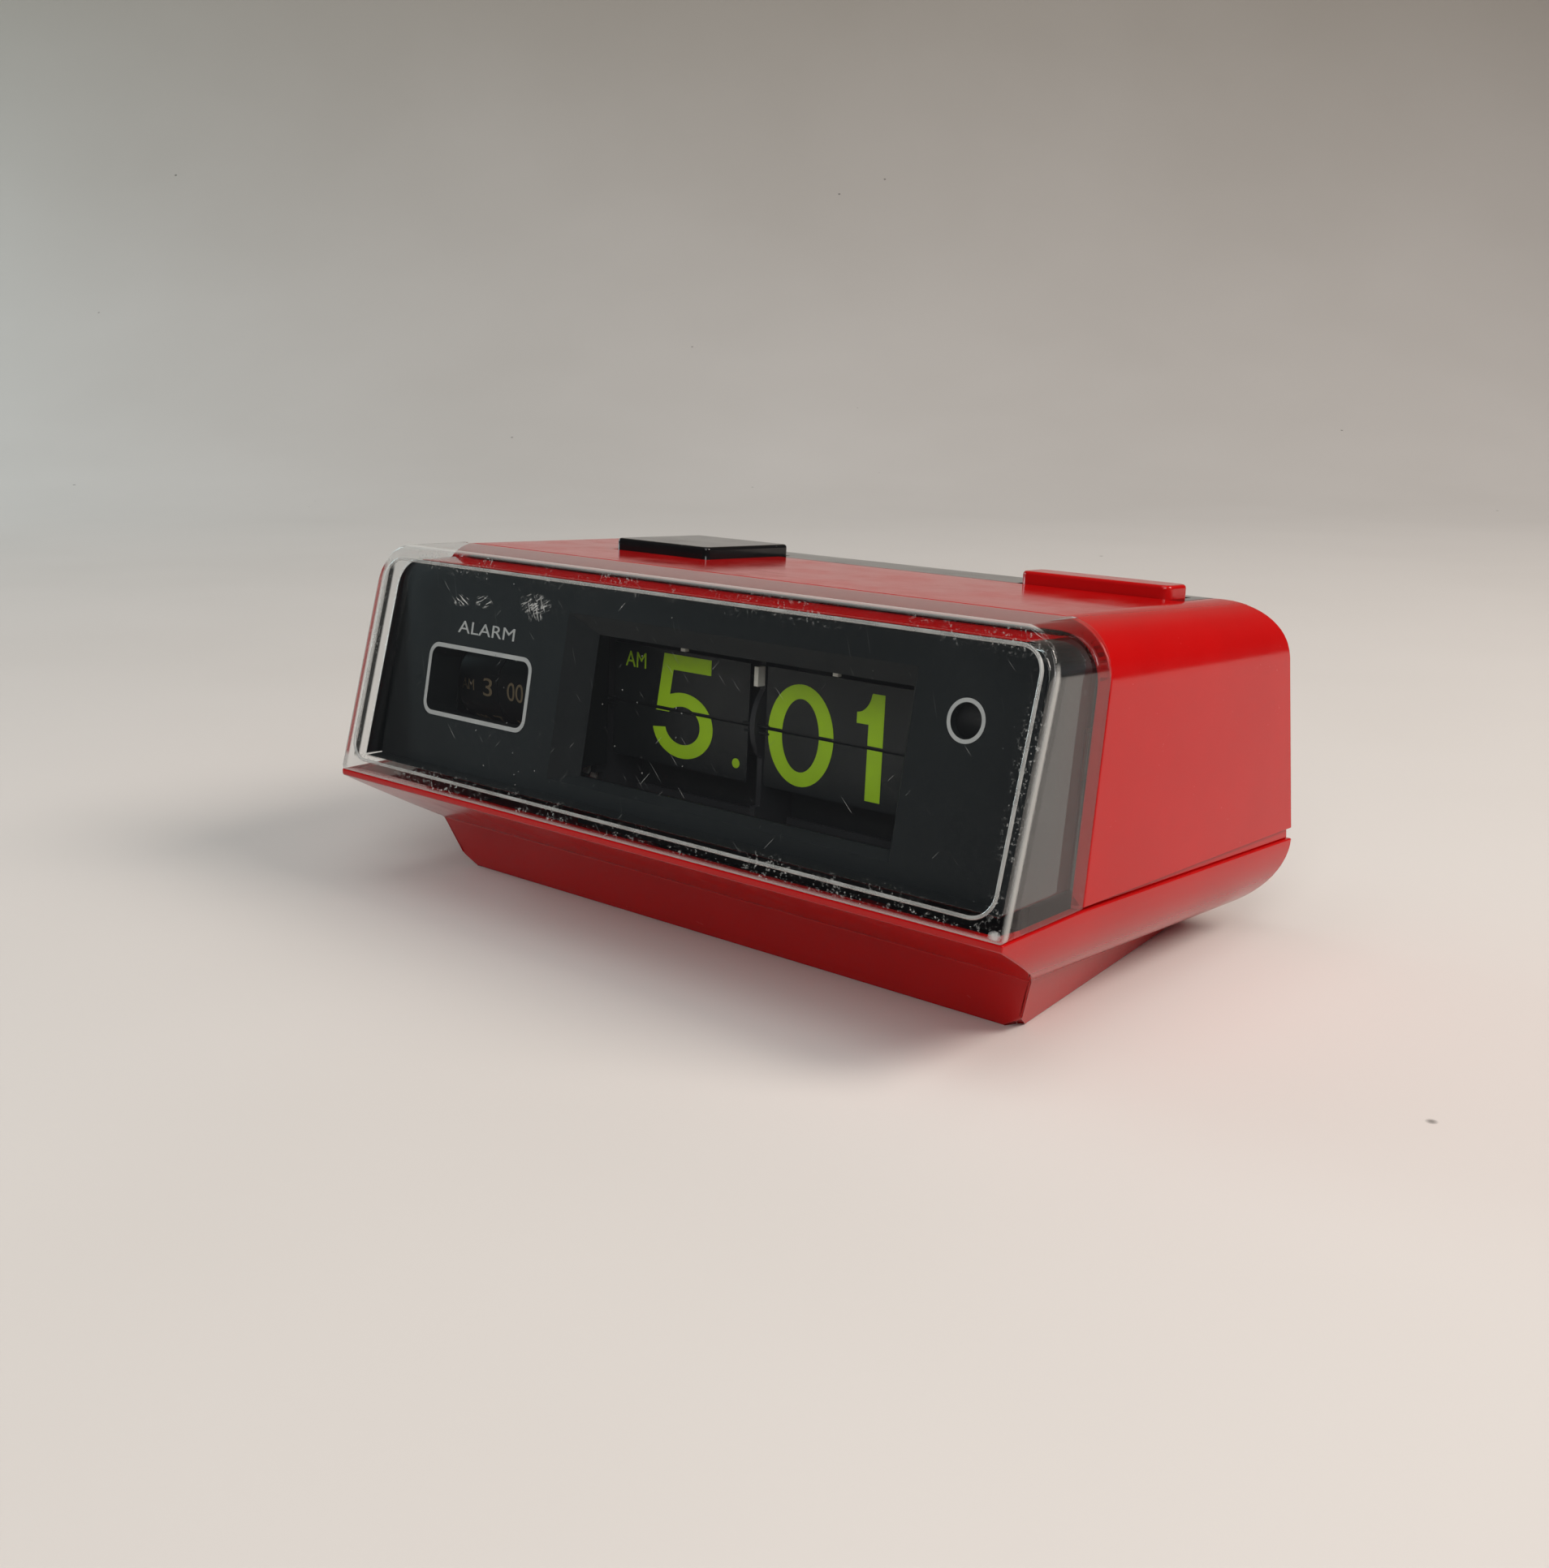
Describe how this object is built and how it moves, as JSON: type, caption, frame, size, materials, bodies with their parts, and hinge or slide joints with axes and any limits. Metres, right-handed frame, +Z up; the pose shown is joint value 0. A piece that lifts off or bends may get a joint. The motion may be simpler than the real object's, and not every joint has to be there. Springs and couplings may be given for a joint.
{
  "type": "flip-card alarm clock",
  "caption": "Red flip-card alarm clock with a clear leaning front, black dial, plate and bar buttons on top and a wedge foot that tips the face up.",
  "frame": {"origin": "on the floor, under the middle of the body's width and depth", "axes": "+X to the right seen from the front, +Y to the rear, +Z up"},
  "size_m": [0.17, 0.1032, 0.0725],
  "materials": {
    "red_plastic": "gloss",
    "clear_plastic": "clear, worn",
    "dial_black": "satin",
    "gloss_black": "gloss",
    "black_plastic": "matte",
    "card_black": "matte",
    "frame_plastic": "matte",
    "white_plastic": "matte",
    "steel": "bright",
    "brass": "bright",
    "copper": "enamelled wire",
    "cell_label": "printed sleeve",
    "board_green": "solder mask",
    "lamp_glass": "clear"
  },
  "bodies": {
    "case": {"lower_case": "red_plastic", "upper_case": "red_plastic", "front_cover": "clear_plastic", "dial_panel": "dial_black", "top_strip": "gloss_black", "rear_panel": "black_plastic", "battery": "cell_label", "contact_plus": "steel", "contact_minus": "steel", "case_screws": "steel", "movement_screws": "steel", "movement_base": "frame_plastic", "plate_left": "frame_plastic", "plate_centre": "frame_plastic", "plate_right": "frame_plastic", "plate_outer": "frame_plastic", "frame_pillars": "steel", "catch_bar": "black_plastic", "card_catches": "white_plastic", "card_axle": "steel", "hour_pack": "card_black", "minute_pack": "card_black", "hour_lower_leaf": "card_black", "minute_lower_leaf": "card_black", "stator": "steel", "coil": "copper", "alarm_bracket": "frame_plastic", "circuit_board": "board_green", "driver_chip": "black_plastic", "crystal": "steel", "buzzer": "black_plastic", "lamp_socket": "black_plastic", "lamp": "lamp_glass"},
    "light_button": {"light_button": "gloss_black"},
    "alarm_bar": {"alarm_bar": "red_plastic"},
    "battery_door": {"battery_door": "black_plastic"},
    "hour_leaf": {"hour_leaf": "card_black"},
    "minute_leaf": {"minute_leaf": "card_black"},
    "third": {"third_arbor": "brass"},
    "minute": {"minute_spool": "white_plastic", "minute_wheel": "white_plastic"},
    "hour": {"hour_spool": "white_plastic", "hour_wheel": "white_plastic"},
    "lay": {"lay_arbor": "brass"},
    "seconds": {"seconds_arbor": "black_plastic"},
    "rotor": {"rotor": "steel"},
    "time_set": {"time_wheel": "black_plastic"},
    "alarm_minute": {"alarm_shaft": "steel", "alarm_minute_drum": "black_plastic"},
    "alarm_hour": {"alarm_hour_drum": "black_plastic"},
    "alarm_idler": {"alarm_idler": "white_plastic"},
    "alarm_set": {"alarm_wheel": "black_plastic"}
  },
  "joints": [
    {"name": "light_press", "type": "slide", "parent": "case", "child": "light_button", "axis": [0, -0.0673, -0.9977], "range_m": [0, 0.0012], "stiffness_N_per_m": 400, "springref_m": -0.0005},
    {"name": "alarm_press", "type": "slide", "parent": "case", "child": "alarm_bar", "axis": [0, -0.0673, -0.9977], "range_m": [0, 0.0012], "stiffness_N_per_m": 400, "springref_m": -0.0005},
    {"name": "battery_door_hinge", "type": "hinge", "parent": "case", "child": "battery_door", "pos_m": [0, 0.04899, 0.02899], "axis": [-1, 0, 0], "range_deg": [0, 95]},
    {"name": "hour_leaf_fall", "type": "hinge", "parent": "case", "child": "hour_leaf", "pos_m": [0, -0.02585, 0.04446], "axis": [1, 0, 0], "range_deg": [0, 180]},
    {"name": "minute_leaf_fall", "type": "hinge", "parent": "case", "child": "minute_leaf", "pos_m": [0, -0.02585, 0.04446], "axis": [1, 0, 0], "range_deg": [0, 180]},
    {"name": "third_spin", "type": "hinge", "parent": "case", "child": "third", "pos_m": [0, -0.02009, 0.05679], "axis": [1, 0, 0], "continuous": true},
    {"name": "minute_spin", "type": "hinge", "parent": "case", "child": "minute", "pos_m": [0, -0.01732, 0.04388], "axis": [1, 0, 0], "continuous": true},
    {"name": "hour_spin", "type": "hinge", "parent": "case", "child": "hour", "pos_m": [0, -0.01732, 0.04388], "axis": [1, 0, 0], "continuous": true},
    {"name": "lay_spin", "type": "hinge", "parent": "case", "child": "lay", "pos_m": [0, 0.00463, 0.0424], "axis": [1, 0, 0], "continuous": true},
    {"name": "seconds_spin", "type": "hinge", "parent": "case", "child": "seconds", "pos_m": [0, -0.0294, 0.05492], "axis": [1, 0, 0], "continuous": true},
    {"name": "rotor_spin", "type": "hinge", "parent": "case", "child": "rotor", "pos_m": [0, -0.02865, 0.04796], "axis": [1, 0, 0], "continuous": true},
    {"name": "time_set_spin", "type": "hinge", "parent": "case", "child": "time_set", "pos_m": [0, 0.03262, 0.03652], "axis": [1, 0, 0], "continuous": true},
    {"name": "alarm_drum_spin", "type": "hinge", "parent": "case", "child": "alarm_minute", "pos_m": [0, -0.01694, 0.04055], "axis": [1, 0, 0], "continuous": true},
    {"name": "alarm_hour_spin", "type": "hinge", "parent": "case", "child": "alarm_hour", "pos_m": [0, -0.01694, 0.04055], "axis": [1, 0, 0], "continuous": true},
    {"name": "alarm_idler_spin", "type": "hinge", "parent": "case", "child": "alarm_idler", "pos_m": [0, 0.01299, 0.03853], "axis": [1, 0, 0], "continuous": true},
    {"name": "alarm_set_spin", "type": "hinge", "parent": "case", "child": "alarm_set", "pos_m": [0, 0.03893, 0.03678], "axis": [1, 0, 0], "continuous": true}
  ],
  "couplings": [
    {"joint": "minute_spin", "follows": "third_spin", "ratio": -0.22222},
    {"joint": "lay_spin", "follows": "third_spin", "ratio": 0.055556},
    {"joint": "hour_spin", "follows": "third_spin", "ratio": -0.0092593},
    {"joint": "time_set_spin", "follows": "third_spin", "ratio": -0.088889},
    {"joint": "seconds_spin", "follows": "third_spin", "ratio": -3.75},
    {"joint": "rotor_spin", "follows": "third_spin", "ratio": 9.375},
    {"joint": "alarm_idler_spin", "follows": "alarm_drum_spin", "ratio": -0.5},
    {"joint": "alarm_set_spin", "follows": "alarm_drum_spin", "ratio": 1.6667},
    {"joint": "alarm_hour_spin", "follows": "alarm_drum_spin", "ratio": 0.041667}
  ]
}
